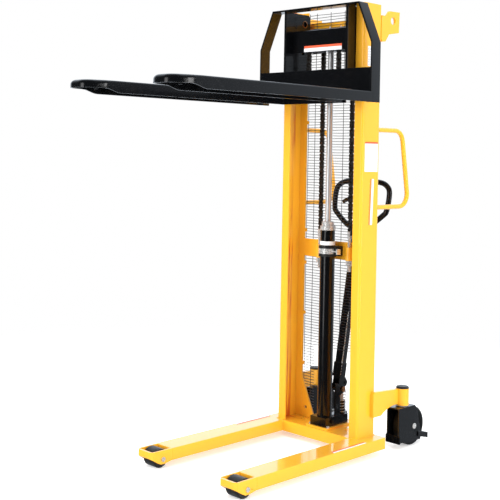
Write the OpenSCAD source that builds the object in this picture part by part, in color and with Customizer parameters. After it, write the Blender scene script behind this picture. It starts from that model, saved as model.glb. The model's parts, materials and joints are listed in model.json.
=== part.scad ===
// Walkie stacker: a manual pallet stacker with a hand pumped hydraulic mast.
// Millimetres. +Z is up, the forks point towards -Y and the operator stands at +Y.
// Z = 0 is the floor. Left is -X and right is +X, as seen from the fork end.
// The forks are drawn fully raised and the pump handle is at its upright stop.

/* [Mast] */
// Height of the top of the mast above the floor
mast_top = 1997; // [1900:1:2100]
// Half of the width over the two mast channels
mast_half = 240; // [236:1:246]
// Depth of a mast channel, front to back
mast_depth = 124; // [122:1:126]
// Width of a channel's flanges
flange_w = 47; // [44:1:48]
// Steel thickness of the mast channels
mast_t = 8; // [6:1:9]

/* [Legs] */
// Inner face of a support leg, from the middle of the machine
leg_in = 200; // [196:1:204]
// Width of a support leg
leg_w = 100; // [94:1:104]
// Height of the leg tube
leg_h = 50; // [44:1:54]
// Height of the leg's underside above the floor
leg_z = 27; // [22:1:30]
// Length of the leg tube in front of the mast
leg_reach = 682; // [640:1:720]
// Length of the leg tip in front of the leg tube
tip_len = 115; // [110:1:130]

/* [Forks] */
// Height of the fork tops when raised
fork_top = 1600; // [1590:1:1604]
// Height of the fork tops when lowered
fork_low = 90; // [89:1:98]
// Width over both forks
fork_span = 672; // [670:2:680]
// Width of one fork
fork_w = 160; // [156:1:164]
// Height of a fork's side walls
fork_h = 48; // [42:1:52]
// Fork steel thickness
fork_t = 6; // [5:1:7]
// Distance from the mast's front face to the fork tips
fork_reach = 1172; // [1100:1:1250]

/* [Hydraulics] */
// Outer radius of the lift cylinder
cyl_r = 34; // [32:1:36]
// Radius of the chromed piston rod
rod_r = 14; // [12:1:16]
// Height of the top of the gland
gland_top = 1019; // [1000:1:1030]
// Stroke of the pump plunger
pump_stroke = 38.7; // [30:0.1:39]

/* [Wheels] */
// Radius of the load rollers in the leg tips
load_r = 40; // [36:1:40]
// Radius of the rear caster wheels
caster_r = 88; // [80:1:88]
// Sideways distance of a caster's kingpin
king_x = 263; // [261:1:270]
// Distance of the kingpins behind the mast's front face
king_y = 297; // [296:1:310]
// Distance of the caster axle behind the kingpin
caster_trail = 48; // [40:1:50]
// Radius of the mast guide rollers
guide_r = 53; // [50:1:53]

/* [Hidden] */
$fn = 48;

// Places the mast's front face so that the whole machine is centred on Y = 0
mast_y = 361.5;

// Colours of the paint and metals
paint = "gold";
black = "#1c1c1e";
zinc = "silver";
chrome = "#d8dce0";
rubber = "#101012";

// Running clearance of a pin in its bore
fit = 0.05;

leg_top = leg_z + leg_h;
leg_mid = leg_in + leg_w / 2;
leg_back = 126;
floor_t = 8;
flange_in = mast_half - flange_w;
lift = fork_top - fork_low;
ram_travel = lift / 2;

// Lift cylinder and chain pulleys
ram_y = 60;
pump_top = 127;
pad_top = 86;
cyl_bottom = pump_top - 9;
collar_z = 978;
cyl_top = 909;
clamp_bottom = 858;
rod_bottom = 918;
pulley_z = 1850;
pulley_x = 89;
pulley_w = 36;
pulley_r = 58;
chain_pitch_r = 51;
chain_w = 24;
chain_d = 18;
axle_r = 12;
rod_top = 1812;
chain_low = 977;
chain_front_low = 1650;
anchor_y = 111;

// Carriage
side_x = 178;
side_t = 12;
side_front = -55;
side_back = 110;
stub_r = 15;
guide_y = mast_depth / 2;
guide_w = 35;
guide_x = 195;
guide_zs = [1650, 1920];
bar_d = 60;
bar_t = 8;
bar_front = -65;
bar_half = fork_span / 2 - 1;
bar_top_half = 259;
bar_bend_z = 1812;
bar_top = 1990;
plate_top = 1703;
carriage_low = fork_top - fork_h;

// Leg tips and load rollers
load_y = -732;
load_z = 40;
load_w = 70;
load_axle_r = 10;

// Casters
king_r = 15;
sleeve_r = 30;
sleeve_bottom = 188;
sleeve_top = 264;
yoke_half = 34;
wheel_w = 50;
caster_axle_r = 10;

// Pump linkage: the fulcrum, the push roller and the handle's lean
ful_y = 150;
ful_z = 240;
push_y = 182;
push_z = 262;
push_r = 14;
lean = 9.8;
ful_r = 8;
plunger_r = 9;
barrel_top = 180;
barrel_r = 16.5;
spring_r = 23;
seat_low = 222;
seat_top = 226;
cap_low = 240;
cap_top = push_z - push_r - 0.3;

// ---- helpers ----

// A box given by two opposite corners
module block(a, b) {
  translate(a) cube(b - a);
}

// A round bar along X from x0 to x1
module bar_x(r, x0, x1, y, z) {
  translate([x0, y, z]) rotate([0, 90, 0]) cylinder(r = r, h = x1 - x0);
}

// A round bar along Z from z0 to z1
module bar_z(r, z0, z1, x = 0, y = 0) {
  translate([x, y, z0]) cylinder(r = r, h = z1 - z0);
}

// A round bar along Y from y0 to y1
module bar_y(r, y0, y1, x, z) {
  translate([x, y0, z]) rotate([-90, 0, 0]) cylinder(r = r, h = y1 - y0);
}

// A straight length of bent tube between two points, with round ends
module tube_seg(r, a, b) {
  hull() {
    translate(a) sphere(r = r, $fn = 12);
    translate(b) sphere(r = r, $fn = 12);
  }
}

// A plate with a [y, z] outline, from x0 to x1
module plate_x(x0, x1, outline) {
  translate([x0, 0, 0]) rotate([90, 0, 90]) linear_extrude(height = x1 - x0) polygon(outline);
}

// A plate with an [x, z] outline, from y0 to y1
module plate_y(y0, y1, outline) {
  translate([0, y1, 0]) rotate([90, 0, 0]) linear_extrude(height = y1 - y0) polygon(outline);
}

// Puts a part drawn from the mast's front face at its place in the machine
module at_mast() {
  translate([0, mast_y, 0]) children();
}

// The same part on the other side of the machine
module flipped() {
  mirror([1, 0, 0]) children();
}

// The part and its mirror image
module both() {
  children();
  flipped() children();
}

// Points of an arc, for plate outlines
function arc_pts(cx, cy, r, a0, a1, n = 6) =
  [for (i = [0 : n]) let (a = a0 + (a1 - a0) * i / n) [cx + r * cos(a), cy + r * sin(a)]];

// Puts a part drawn with the fulcrum at the origin onto the leaning handle
module on_handle() {
  translate([0, ful_y, ful_z]) rotate([-lean, 0, 0]) children();
}

// ---- base ----

module leg_tube() {
  difference() {
    block([leg_in, -leg_reach, leg_z], [leg_in + leg_w, leg_back, leg_top]);
    block([leg_in + 5, -leg_reach - 1, leg_z + 5], [leg_in + leg_w - 5, leg_back - 5, leg_top - 5]);
  }
}

module leg_left() { color(paint) at_mast() flipped() leg_tube(); }
module leg_right() { color(paint) at_mast() leg_tube(); }

// Welded tip: two cheeks with an axle lobe, a deck with a window and a bevelled nose
module leg_tip() {
  tip_front = -leg_reach - tip_len;
  cheek = [[-leg_reach, leg_z], [-leg_reach, leg_top], [tip_front, leg_top], [tip_front, leg_z + 24],
    [load_y - 34, leg_z + 4], [load_y - 12, leg_z - 7], [load_y + 12, leg_z - 7]];
  difference() {
    plate_x(leg_in, leg_in + leg_w, cheek);
    block([leg_in + 9, tip_front + 12, 0], [leg_in + leg_w - 9, -leg_reach - 6, leg_top + 1]);
    bar_x(load_axle_r, leg_in - 1, leg_in + leg_w + 1, load_y, load_z);
    for (x = [leg_in, leg_in + leg_w])
      translate([x, tip_front, leg_z]) rotate([0, 0, 45]) cube([22, 22, 3 * leg_h], center = true);
  }
}

module leg_tips() { color(paint) at_mast() both() leg_tip(); }

module base_crossbeam() {
  color(paint) at_mast() difference() {
    block([-leg_in, -5, leg_z], [leg_in, 45, leg_top]);
    block([-leg_in - 1, 0, leg_z + 5], [leg_in + 1, 40, leg_top - 5]);
  }
}

// Floor plate behind the crossbeam, with the raised pad that carries the pump
module floor_plate() {
  color(paint) at_mast() difference() {
    union() {
      block([-leg_in, 45, leg_top - floor_t], [leg_in, leg_back, leg_top]);
      block([-62, 4, leg_top], [62, 212, pad_top]);
      block([-62, leg_back, leg_top - floor_t], [62, 212, leg_top]);
    }
    for (x = [-150, -105, 105, 150])
      bar_z(9, 0, leg_top + 20, x, 88);
  }
}

// ---- mast ----

// C section, open towards the middle of the machine, with rounded outer corners
module channel_section() {
  difference() {
    union() {
      translate([flange_in, 0]) square([flange_w - 12, mast_depth]);
      translate([mast_half - 12, 12]) square([12, mast_depth - 24]);
      for (y = [12, mast_depth - 12])
        translate([mast_half - 12, y]) circle(r = 12);
    }
    translate([flange_in - 1, mast_t]) square([flange_w - mast_t + 1, mast_depth - 2 * mast_t]);
  }
}

module mast_channel() {
  translate([0, 0, leg_top]) linear_extrude(height = mast_top - leg_top) channel_section();
  for (z = [331, 571, 810, 964, 1475])
    block([flange_in - 10, mast_depth - 6, z - 8], [flange_in, mast_depth, z + 8]);
}

module mast_channel_left() { color(paint) at_mast() flipped() mast_channel(); }
module mast_channel_right() { color(paint) at_mast() mast_channel(); }

// Folded beam that ties the mast heads behind the mesh
module top_crossbeam() {
  color(paint) at_mast() difference() {
    union() {
      block([-204, 134, 1911], [204, 141, 1947]);
      block([-204, 134, 1940], [204, 164, 1947]);
      both() block([204, mast_depth, 1911], [227, 141, 1947]);
    }
    for (x = [-76, -10])
      bar_y(5, 130, 150, x, 1922);
  }
}

// Mid brace with the two bosses that take the chain anchor rods
module mid_brace() {
  color(paint) at_mast() difference() {
    union() {
      block([-flange_in, mast_depth - 8, 842], [flange_in, mast_depth, 924]);
      both() {
        bar_z(17, 842, 903, pulley_x, anchor_y - 3);
        block([pulley_x - 17, anchor_y - 3, 842], [pulley_x + 17, mast_depth, 903]);
      }
    }
    both() bar_z(8.2, 800, 950, pulley_x, anchor_y - 3);
  }
}

module gusset() {
  difference() {
    plate_y(mast_depth - 7, mast_depth, [[flange_in, leg_top], [flange_in, 267], [114, leg_top + 8],
      [114, leg_top]]);
    bar_y(7, 100, 140, flange_in - 26, leg_top + 46);
  }
}

module mast_gussets() { color(paint) at_mast() both() gusset(); }

// Plate at the mast head with a lifting hole
module lifting_lug() {
  difference() {
    plate_x(mast_half - 12, mast_half, [[mast_depth, 1833], [152, 1837], [177, 1871], [250, 1884],
      [254, 1978], [179, 1976], [157, 1952], [mast_depth, 1952]]);
    bar_x(17, mast_half - 20, mast_half + 10, 206, 1934);
  }
}

module lifting_lugs() { color(paint) at_mast() both() lifting_lug(); }

// Arm from the channel's web to the kingpin sleeve, hollowed below
module caster_bracket() {
  arm = concat([[88, 262], [96, 274], [king_y - 36, 263], [king_y, 263], [king_y, sleeve_bottom + 6]],
    arc_pts(247, 17, 177, 90, 125, 6), [[88, 162]]);
  difference() {
    union() {
      plate_x(mast_half, mast_half + 20, arm);
      bar_z(sleeve_r, sleeve_bottom, sleeve_top, king_x, king_y);
    }
    bar_z(king_r + fit, 100, 300, king_x, king_y);
  }
}

module caster_brackets() { color(paint) at_mast() both() caster_bracket(); }

// Bent tube handle: two arms off the mast, and a grip that leans back towards the bottom
grab_r = 11;
grab_x = 222;
grab_top = 1440;
grab_bottom = 1092;
grab_bend = 58;
grab_slope = 9.6;
grab_reach = 262;

// Centre line of the bent tube, as [y, z] points
function grab_pts() =
  let (drop = grab_top - grab_bottom - 2 * grab_bend, y_low = grab_reach + drop * tan(grab_slope))
  concat([[mast_depth + grab_r, grab_top]],
    arc_pts(grab_reach, grab_top - grab_bend, grab_bend, 90, grab_slope, 5),
    arc_pts(y_low, grab_bottom + grab_bend, grab_bend, grab_slope, -90, 6),
    [[mast_depth + grab_r, grab_bottom]]);

module grab_handle() {
  p = grab_pts();
  for (z = [grab_top, grab_bottom])
    bar_y(grab_r, mast_depth, mast_depth + 2 * grab_r, grab_x, z);
  for (i = [0 : len(p) - 2])
    tube_seg(grab_r, [grab_x, p[i][0], p[i][1]], [grab_x, p[i + 1][0], p[i + 1][1]]);
}

module grab_handle_left() { color(paint) at_mast() flipped() grab_handle(); }
module grab_handle_right() { color(paint) at_mast() grab_handle(); }

// Welded mesh on the back of the mast, notched at the bottom for the pump
mesh_y = 128;
wire_r = 1.5;
mesh_bottom = 95;
mesh_top = 1992;
notch_half = 130;
notch_top = 420;
mesh_pitch = 13;
mesh_wires_x = [-192, -149, -63, 23, 110, 192];

module mesh_guard() {
  gap = 2 * wire_r + 0.1;
  color("#303034") at_mast() {
    for (x = mesh_wires_x)
      bar_z(wire_r, abs(x) < notch_half ? notch_top : mesh_bottom, mesh_top, x, mesh_y, $fn = 16);
    for (z = [mesh_bottom + 4 : mesh_pitch : mesh_top - 4]) {
      if (z > notch_top)
        bar_x(wire_r, -196, 196, mesh_y + gap, z, $fn = 16);
      else
        both() bar_x(wire_r, notch_half, 196, mesh_y + gap, z, $fn = 16);
    }
  }
}

// ---- hydraulics ----

module ram_cylinder() {
  color(black) at_mast() difference() {
    union() {
      bar_z(cyl_r, pump_top, cyl_top, 0, ram_y);
      bar_z(cyl_r - 1, 929, collar_z, 0, ram_y);
      bar_z(cyl_r - 4, cyl_top, 929, 0, ram_y);
    }
    bar_z(cyl_r - 6, pump_top + 12, collar_z + 1, 0, ram_y);
  }
}

// Chromed gland nut in two steps, bored for the rod
module gland_nut() {
  color(zinc) at_mast() difference() {
    union() {
      bar_z(cyl_r + 1, collar_z, collar_z + 20, 0, ram_y);
      bar_z(cyl_r - 6, collar_z + 20, gland_top, 0, ram_y);
    }
    bar_z(rod_r + fit, collar_z - 1, gland_top + 1, 0, ram_y);
  }
}

module wiper_band() {
  color("white") at_mast() difference() {
    bar_z(cyl_r + 1, cyl_top + 1, 928, 0, ram_y);
    bar_z(cyl_r - 4, cyl_top, 930, 0, ram_y);
  }
}

// Rubber saddle between the cylinder and its clamp, with a web out to the strap's bolt
strap_low = clamp_bottom + 13;
strap_high = clamp_bottom + 37;
web_end = 70;
bolt_y = ram_y - 10;

module clamp_sleeve() {
  color(rubber) at_mast() difference() {
    union() {
      bar_z(cyl_r + 7, clamp_bottom, clamp_bottom + 12, 0, ram_y);
      bar_z(cyl_r + 3, clamp_bottom + 12, clamp_bottom + 38, 0, ram_y);
      bar_z(cyl_r + 7, clamp_bottom + 38, clamp_bottom + 48, 0, ram_y);
      block([20, ram_y + 8, clamp_bottom + 2], [44, mast_depth - 8, clamp_bottom + 46]);
      difference() {
        plate_y(bolt_y + 6, ram_y + 6, [[36, clamp_bottom + 4], [36, clamp_bottom + 46],
          [web_end, strap_high - 2], [web_end, strap_low + 2]]);
        bar_z(cyl_r + 6.3, strap_low, strap_high, 0, ram_y);
      }
    }
    bar_z(cyl_r, clamp_bottom - 1, cyl_top, 0, ram_y);
  }
}

// Steel strap round the saddle, drawn up by a long bolt to the plate at the web's end
module clamp_strap() {
  color(zinc) at_mast() {
    difference() {
      bar_z(cyl_r + 6, strap_low, strap_high, 0, ram_y);
      bar_z(cyl_r + 3, strap_low - 1, strap_high + 1, 0, ram_y);
      block([20, ram_y + 8, strap_low - 1], [44.3, mast_depth, strap_high + 1]);
    }
    bar_x(4, cyl_r + 4, web_end, bolt_y, (strap_low + strap_high) / 2);
    block([web_end, bolt_y - 12, strap_low], [web_end + 6, bolt_y + 12, strap_high]);
  }
}

// Cast base with a rounded tail under the pump barrel
module pump_block() {
  color(black) at_mast() {
    block([-46, 15, pad_top], [46, 172, pump_top]);
    bar_z(28, pad_top, pump_top, 0, push_y);
    bar_x(9, 46, 54, 60, 106);
    bar_x(9, -54, -46, 60, 106);
  }
}

module pump_barrel() {
  color(black) at_mast() difference() {
    bar_z(barrel_r, pump_top, barrel_top, 0, push_y);
    bar_z(plunger_r + fit, pump_top + 4, barrel_top + 1, 0, push_y);
  }
}

// Two plates beside the plunger that carry the fulcrum pin
module fulcrum_bracket() {
  post = concat([[98, pump_top], [133, pump_top], [133, 212]],
    arc_pts(ful_y, ful_z, 17, -60, 110, 10), [[104, 272], [98, 266]]);
  color(black) at_mast() difference() {
    both() plate_x(25, 32, post);
    bar_x(ful_r, -40, 40, ful_y, ful_z);
  }
}

module fulcrum_pin() {
  color("#b87333") at_mast() {
    bar_x(ful_r, -38, 38, ful_y, ful_z);
    both() bar_x(ful_r + 4, 34, 38, ful_y, ful_z);
  }
}

// Threaded rods, nuts and clevis ends that tie the chains to the mid brace
module chain_anchor() {
  y = anchor_y - 3;
  bar_z(8, 791, 945, pulley_x, y);
  for (z = [817, 830])
    bar_z(15, z, z + 12, pulley_x, y, $fn = 6);
  block([pulley_x - 7, y - 9, 940], [pulley_x + 7, y + 9, chain_low]);
}

module chain_anchors() { color(zinc) at_mast() both() chain_anchor(); }

// ---- chains ----

// A straight run of roller chain, as a plain bar
module chain_run(y, z0, z1) {
  block([pulley_x - chain_w / 2, y - chain_d / 2, z0], [pulley_x + chain_w / 2, y + chain_d / 2, z1]);
}

module rear_chains() {
  color(black) at_mast() both() chain_run(ram_y + chain_pitch_r, chain_low + 0.5, pulley_z);
}

module front_chains() {
  color(black) at_mast() both() chain_run(ram_y - chain_pitch_r, chain_front_low, pulley_z);
}

// The half turn of chain over each pulley
module chain_wraps() {
  color(black) at_mast() both() difference() {
    bar_x(chain_pitch_r + chain_d / 2, pulley_x - chain_w / 2, pulley_x + chain_w / 2, ram_y, pulley_z);
    bar_x(chain_pitch_r - chain_d / 2, pulley_x - chain_w, pulley_x + chain_w, ram_y, pulley_z);
    block([0, -50, pulley_z - 100], [200, 200, pulley_z]);
  }
}

// ---- ram head ----

module piston_rod() {
  color(chrome) at_mast() {
    bar_z(rod_r, rod_bottom, rod_top, 0, ram_y);
    bar_z(cyl_r - 6 - fit, rod_bottom - 20, rod_bottom, 0, ram_y);
  }
}

module crosshead() {
  color(black) at_mast() difference() {
    union() {
      block([-58, ram_y - 24, rod_top], [58, ram_y + 24, pulley_z + 24]);
      bar_z(26, rod_top - 14, rod_top, 0, ram_y);
    }
    bar_x(axle_r, -70, 70, ram_y, pulley_z);
    bar_z(rod_r, rod_top - 15, rod_top, 0, ram_y);
  }
}

module pulley_axle() {
  color(zinc) at_mast() {
    bar_x(axle_r, -114, 114, ram_y, pulley_z);
    both() bar_x(axle_r + 4, 108, 112, ram_y, pulley_z);
  }
}

// Chain wheel with a groove between two rims
module pulley() {
  x0 = pulley_x - pulley_w / 2;
  x1 = pulley_x + pulley_w / 2;
  difference() {
    union() {
      bar_x(chain_pitch_r - chain_d / 2 - 0.5, x0, x1, ram_y, pulley_z);
      bar_x(pulley_r, x0, x0 + 4, ram_y, pulley_z);
      bar_x(pulley_r, x1 - 4, x1, ram_y, pulley_z);
    }
    bar_x(axle_r + fit, x0 - 1, x1 + 1, ram_y, pulley_z);
  }
}

module pulley_left() { color(black) at_mast() flipped() pulley(); }
module pulley_right() { color(black) at_mast() pulley(); }

// ---- carriage ----

// Side plate that runs between the mast channels, with its two roller stubs
module carriage_side() {
  z_low = fork_top + 4;
  outline = [[side_front, carriage_low + 12], [-12, carriage_low + 12], [-12, z_low], [side_back - 20, z_low],
    [side_back, z_low + 30], [side_back, bar_top - bar_t - 8], [side_back - 8, bar_top - bar_t],
    [side_front, bar_top - bar_t]];
  difference() {
    plate_x(side_x, side_x + side_t, outline);
    bar_x(9, side_x - 1, side_x + side_t + 1, 64, 1800);
    bar_x(14, side_x - 1, side_x + side_t + 1, 74, 1937);
  }
  for (z = guide_zs)
    bar_x(stub_r, side_x + side_t - 2, guide_x + guide_w, guide_y, z);
}

module carriage_side_left() { color(black) at_mast() flipped() carriage_side(); }
module carriage_side_right() { color(black) at_mast() carriage_side(); }

// Flat bar bent into the load backrest: its edge faces the load
module backrest() {
  outer = [[bar_half, carriage_low], [bar_half, bar_bend_z], [bar_top_half, bar_top]];
  inner = [[bar_top_half - 6, bar_top - bar_t], [bar_half - bar_t, bar_bend_z - 2],
    [bar_half - bar_t, carriage_low]];
  half = concat([[0, bar_top - bar_t]], inner, outer, [[0, bar_top]]);
  color(black) at_mast() both() plate_y(bar_front, bar_front + bar_d, half);
}

// Front plate that carries the forks, with the chain lugs on its back
module front_plate() {
  color(black) at_mast() {
    difference() {
      block([-bar_half + bar_t, bar_front, carriage_low], [bar_half - bar_t, side_front, plate_top]);
      both() block([leg_in - 10, bar_front - 1, carriage_low - 1],
        [leg_in + leg_w + 10, side_front + 1, carriage_low + 40]);
    }
    both() block([pulley_x - 16, side_front, chain_front_low - 14],
      [pulley_x + 16, ram_y - chain_pitch_r + chain_d / 2, chain_front_low]);
  }
}

// Cover in front of the pulleys, its top edge rolled back
module cover_plate() {
  y = -14;
  x = side_x;
  color(black) at_mast() {
    block([-x, y, 1792], [x, y + 5, 1884]);
    intersection() {
      difference() {
        bar_x(10, -x, x, y + 10, 1884);
        bar_x(5, -x - 1, x + 1, y + 10, 1884);
      }
      block([-x, y, 1884], [x, y + 10, 1900]);
    }
  }
}

// Lower edge of a fork's walls near the tip: raised, then an S curve down to full depth
tip_rise = 16;
rise_start = 80;
rise_end = 165;

function tip_edge(low, n = 10) =
  [for (i = [0 : n]) [-fork_reach + rise_start + (rise_end - rise_start) * i / n,
    low + tip_rise * (1 + cos(180 * i / n)) / 2]];

// Pressed fork: an inverted U with a rounded tip
module fork_outline(inset) {
  r = 62 - inset;
  tip = -fork_reach;
  x0 = fork_span / 2 - fork_w;
  x1 = fork_span / 2;
  polygon(concat([[x0 + inset, bar_front], [x0 + inset, tip + 90]],
    arc_pts(x0 + inset + r + 6, tip + inset + r, r, 190, 262, 6),
    arc_pts(x1 - inset - r - 6, tip + inset + r, r, 278, 350, 6),
    [[x1 - inset, tip + 90], [x1 - inset, bar_front]]));
}

module fork() {
  low = fork_top - fork_h;
  x0 = fork_span / 2 - fork_w;
  x1 = fork_span / 2;
  difference() {
    translate([0, 0, low]) linear_extrude(height = fork_h) fork_outline(0);
    translate([0, 1, low - 1]) linear_extrude(height = fork_h - fork_t + 1) fork_outline(fork_t);
    plate_x(x0 - 1, x1 + 1, concat([[-fork_reach - 10, low - 2], [-fork_reach - 10, low + tip_rise]],
      tip_edge(low), [[-fork_reach + rise_end, low - 2]]));
  }
  for (x = [x0 + 40, x1 - 46])
    block([x, -fork_reach + 60, low + 18], [x + 6, -fork_reach + 78, fork_top - fork_t]);
}

module fork_left() { color(black) at_mast() flipped() fork(); }
module fork_right() { color(black) at_mast() fork(); }

// Guide roller, a bearing ring that runs inside the mast channel
module guide_roller(z) {
  difference() {
    union() {
      bar_x(guide_r, guide_x + 3, guide_x + guide_w - 3, guide_y, z);
      bar_x(guide_r - 3, guide_x, guide_x + guide_w, guide_y, z);
    }
    bar_x(stub_r + fit, guide_x - 1, guide_x + guide_w + 1, guide_y, z);
  }
}

module guide_upper_left() { color("#55565a") at_mast() flipped() guide_roller(guide_zs[1]); }
module guide_upper_right() { color("#55565a") at_mast() guide_roller(guide_zs[1]); }
module guide_lower_left() { color("#55565a") at_mast() flipped() guide_roller(guide_zs[0]); }
module guide_lower_right() { color("#55565a") at_mast() guide_roller(guide_zs[0]); }

// ---- rollers and casters ----

module load_axles() {
  color(zinc) at_mast() both() bar_x(load_axle_r, leg_in - 3, leg_in + leg_w + 3, load_y, load_z);
}

module load_roller() {
  x0 = leg_mid - load_w / 2;
  x1 = leg_mid + load_w / 2;
  difference() {
    union() {
      bar_x(load_r, x0 + 4, x1 - 4, load_y, load_z);
      bar_x(load_r - 4, x0, x1, load_y, load_z);
    }
    bar_x(load_axle_r + fit, x0 - 1, x1 + 1, load_y, load_z);
  }
}

module load_roller_left() { color(rubber) at_mast() flipped() load_roller(); }
module load_roller_right() { color(rubber) at_mast() load_roller(); }

caster_y = king_y + caster_trail;

// Folded yoke: top plate, two deep cheeks, a foot bar in front and a foot guard behind
module caster_yoke() {
  top = 184;
  front = 228;
  foot = 60;
  x0 = king_x - yoke_half;
  x1 = king_x + yoke_half;
  cheek = [[front, top], [345, top], [358, top - 6], [365, 165], [397, 54], [397, 19], [front, 27]];
  guard = [[372, foot], [448, 42], [448, 18], [372, 36]];
  difference() {
    union() {
      block([x0, front, top - 6], [x1, 352, top]);
      plate_x(x0, x0 + 6, cheek);
      plate_x(x1 - 6, x1, cheek);
      block([x0 - 5, front, 24], [x1 + 5, front + 8, foot]);
      plate_x(x1, x1 + 5, guard);
      plate_x(x0 - 5, x0, guard);
      block([x0 - 5, 441, 18], [x1 + 5, 448, 42]);
    }
    bar_z(king_r, 150, 200, king_x, king_y);
    bar_x(caster_axle_r, x0 - 10, x1 + 10, caster_y, caster_r);
  }
}

module caster_yoke_left() { color(black) at_mast() flipped() caster_yoke(); }
module caster_yoke_right() { color(black) at_mast() caster_yoke(); }

// Kingpin with its low domed cap and thrust washer, and the wheel's axle bolt
module caster_pins() {
  bar_z(king_r, 178, sleeve_top + 2, king_x, king_y);
  bar_z(sleeve_r - 4, 184, sleeve_bottom - 0.4, king_x, king_y);
  translate([king_x, king_y, sleeve_top + 0.4]) rotate_extrude()
    polygon(concat([[0, 0], [30, 0], [30, 2]], arc_pts(22, 2, 8, 0, 90, 5), [[0, 10]]));
  x = yoke_half + 5;
  bar_x(caster_axle_r, king_x - x, king_x + x, caster_y, caster_r);
  translate([king_x + x - 5, caster_y, caster_r]) rotate([0, 90, 0]) cylinder(r = 16, h = 10, $fn = 6);
  translate([king_x - x - 5, caster_y, caster_r]) rotate([0, 90, 0]) cylinder(r = 16, h = 10, $fn = 6);
}

module caster_pins_left() { color(zinc) at_mast() flipped() caster_pins(); }
module caster_pins_right() { color(zinc) at_mast() caster_pins(); }

// Wheel: tyre, rim and bearing hub, turned as one ring
module caster_wheel() {
  h = wheel_w / 2;
  bore = caster_axle_r + fit;
  translate([king_x, caster_y, caster_r]) rotate([0, 90, 0]) rotate_extrude()
    polygon([[bore, -h], [24, -h], [26, -12], [58, -12], [62, -h + 2], [82, -h + 2], [caster_r, -h + 9],
      [caster_r, h - 9], [82, h - 2], [62, h - 2], [58, 12], [26, 12], [24, h], [bore, h]]);
}

module caster_wheel_left() { color(rubber) at_mast() flipped() caster_wheel(); }
module caster_wheel_right() { color(rubber) at_mast() caster_wheel(); }

// ---- pump handle and linkage ----

// Handle bar with the forked foot that holds the fulcrum and the push roller
loop_low = 752;
loop_top = 972;
loop_half = 156;
loop_tube = 13;

module tiller_bar() {
  color(black) at_mast() {
    difference() {
      union() {
        both() hull() {
          bar_x(16, 14, 20, ful_y, ful_z, $fn = 32);
          bar_x(15, 14, 20, push_y, push_z, $fn = 32);
          on_handle() block([14, -16, 40], [20, 16, 60]);
        }
        on_handle() difference() {
          union() {
            block([-20, -16, 42], [20, 16, loop_low - loop_tube]);
            block([-20, -16, loop_low + loop_tube + 3], [20, 16, loop_top - loop_tube]);
          }
          block([-15, -11, 30], [15, 17, loop_low - 30]);
        }
      }
      bar_x(ful_r + fit, -30, 30, ful_y, ful_z);
    }
    bar_x(push_r, -13.9, 13.9, push_y, push_z);
    bar_x(6, -24, 24, push_y, push_z);
  }
}

// Closed loop of bent tube in the plane of the handle
function loop_pts() = [[0, loop_low], [60, loop_low + 8], [138, loop_low + 64], [157, loop_low + 92],
  [161, loop_low + 166], [146, loop_low + 200], [100, loop_top], [0, loop_top]];

module handle_loop() {
  p = loop_pts();
  color(black) at_mast() on_handle() both()
    for (i = [0 : len(p) - 2])
      tube_seg(loop_tube, [p[i][0], 0, p[i][1]], [p[i + 1][0], 0, p[i + 1][1]]);
}

// Curved trigger under the loop's grip, on a pin at the middle of the loop
lever_v = 885;

module release_lever() {
  color(black) at_mast() on_handle() {
    translate([0, 0, lever_v]) rotate([90, 0, 0]) translate([0, 0, 17]) {
      cylinder(r = 16, h = 10);
      linear_extrude(height = 10)
        polygon(concat([[-6, 15]], arc_pts(-10, -130, 146, 96, 126, 6), arc_pts(-10, -130, 130, 126, 96, 6)));
    }
  }
}

module pump_plunger() {
  color(chrome) at_mast() {
    bar_z(plunger_r, pump_top + 44, cap_low, 0, push_y);
    bar_z(spring_r - 1, seat_low, seat_top, 0, push_y);
    bar_z(13, cap_low, cap_top, 0, push_y);
  }
}

// Return spring, as a sleeve round the barrel, from the pump block to the plunger's seat
module pump_spring() {
  color(chrome) at_mast() difference() {
    bar_z(spring_r, pump_top, seat_low, 0, push_y);
    bar_z(spring_r - 5, pump_top - 1, seat_low + 1, 0, push_y);
  }
}

valve_y = 112;
valve_z = 140;

// Lowering valve: a short lever on the pump block, lifted by the pull chain
module valve_lever() {
  color(zinc) at_mast() difference() {
    union() {
      bar_x(7, -6, 6, valve_y, valve_z);
      block([-3, valve_y, valve_z - 4], [3, valve_y + 24, valve_z + 4]);
    }
    bar_x(3, -7, 7, valve_y, valve_z);
  }
}

module valve_chain() {
  color(zinc) at_mast() bar_z(2, valve_z + 4.8, ful_z - 4, 0, valve_y + 20);
}

leg_left();
leg_right();
leg_tips();
base_crossbeam();
floor_plate();
mast_channel_left();
mast_channel_right();
top_crossbeam();
mid_brace();
mast_gussets();
lifting_lugs();
caster_brackets();
grab_handle_left();
grab_handle_right();
mesh_guard();
ram_cylinder();
gland_nut();
wiper_band();
clamp_sleeve();
clamp_strap();
pump_block();
pump_barrel();
fulcrum_bracket();
fulcrum_pin();
chain_anchors();
rear_chains();
load_axles();
load_roller_left();
load_roller_right();
piston_rod();
crosshead();
pulley_axle();
chain_wraps();
pulley_left();
pulley_right();
front_chains();
carriage_side_left();
carriage_side_right();
backrest();
front_plate();
cover_plate();
fork_left();
fork_right();
guide_upper_left();
guide_upper_right();
guide_lower_left();
guide_lower_right();
caster_yoke_left();
caster_yoke_right();
caster_pins_left();
caster_pins_right();
caster_wheel_left();
caster_wheel_right();
tiller_bar();
handle_loop();
release_lever();
pump_plunger();
pump_spring();
valve_lever();
valve_chain();
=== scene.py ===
"""Looks of a walkie stacker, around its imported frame, in millimetres from the mast's front face."""

import json
from math import asin, ceil, cos, pi, radians, sin, tau

import bmesh
import bpy
from mathutils import Matrix, Vector


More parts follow.
